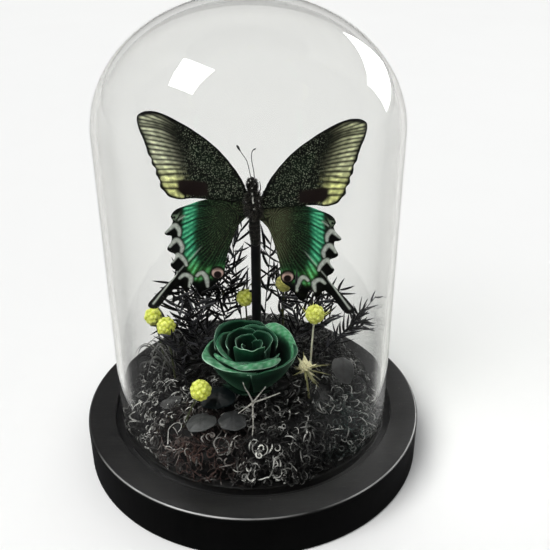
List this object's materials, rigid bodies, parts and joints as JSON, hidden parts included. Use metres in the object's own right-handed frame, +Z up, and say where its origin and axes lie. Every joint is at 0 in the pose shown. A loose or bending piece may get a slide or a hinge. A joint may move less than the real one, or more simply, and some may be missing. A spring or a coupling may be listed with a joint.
{
  "type": "butterfly specimen under a glass dome",
  "caption": "Swallowtail butterfly on a black post above a preserved rose, moss and dry sprigs, under a clear glass dome on a round black wooden base",
  "frame": {"origin": "centre of the wooden base's underside, on the surface it stands on", "axes": "+Z up along the dome's axis, -Y towards the front where the butterfly's upper side and the rose face, +X to the right seen from the front"},
  "size_m": [0.15, 0.15, 0.1993],
  "materials": {
    "black_wood": "satin black paint on turned wood",
    "clear_glass": "clear blown glass",
    "black_post": "matt black painted rod",
    "insect_body": "black furry cuticle with pale hairs",
    "wing_scales": "black wing membrane dusted with green and cream scales",
    "green_petal": "preserved dark green petals",
    "yellow_flower": "preserved yellow-green flower heads",
    "cream_flower": "dry cream florets",
    "dark_leaf": "dyed dark grey leaf",
    "black_needle": "dyed black needles on thin stems",
    "dry_twig": "pale dry twig",
    "black_moss": "dyed black curly moss"
  },
  "bodies": {
    "root": {"wood_base": "black_wood", "glass_dome": "clear_glass", "support_post": "black_post", "butterfly_body": "insect_body", "antenna_left": "insect_body", "antenna_right": "insect_body", "forewing_left": "wing_scales", "forewing_right": "wing_scales", "hindwing_left": "wing_scales", "hindwing_right": "wing_scales", "rose_calyx": "green_petal", "rose_petal_1": "green_petal", "rose_petal_2": "green_petal", "rose_petal_3": "green_petal", "rose_petal_4": "green_petal", "rose_petal_5": "green_petal", "rose_petal_6": "green_petal", "rose_petal_7": "green_petal", "rose_petal_8": "green_petal", "rose_petal_9": "green_petal", "rose_petal_10": "green_petal", "rose_petal_11": "green_petal", "rose_petal_12": "green_petal", "rose_petal_13": "green_petal", "rose_petal_14": "green_petal", "ball_flower_1": "yellow_flower", "ball_flower_2": "yellow_flower", "ball_flower_3": "yellow_flower", "ball_flower_4": "yellow_flower", "ball_flower_5": "yellow_flower", "ball_flower_6": "yellow_flower", "star_flower": "cream_flower", "dark_leaf_1": "dark_leaf", "dark_leaf_2": "dark_leaf", "dark_leaf_3": "dark_leaf", "dark_leaf_4": "dark_leaf", "dark_leaf_5": "dark_leaf", "pale_twig": "dry_twig", "bare_twig_left": "black_needle", "bare_twig_right": "black_needle", "needle_sprig_1": "black_needle", "needle_sprig_2": "black_needle", "needle_sprig_3": "black_needle", "needle_sprig_4": "black_needle", "needle_sprig_5": "black_needle", "needle_sprig_6": "black_needle", "needle_sprig_7": "black_needle", "needle_sprig_8": "black_needle", "needle_sprig_9": "black_needle", "needle_sprig_10": "black_needle", "grass_tuft": "black_needle", "moss_centre": "black_moss", "moss_tuft_1": "black_moss", "moss_tuft_2": "black_moss", "moss_tuft_3": "black_moss", "moss_tuft_4": "black_moss", "moss_tuft_5": "black_moss", "moss_tuft_6": "black_moss"}
  },
  "joints": []
}
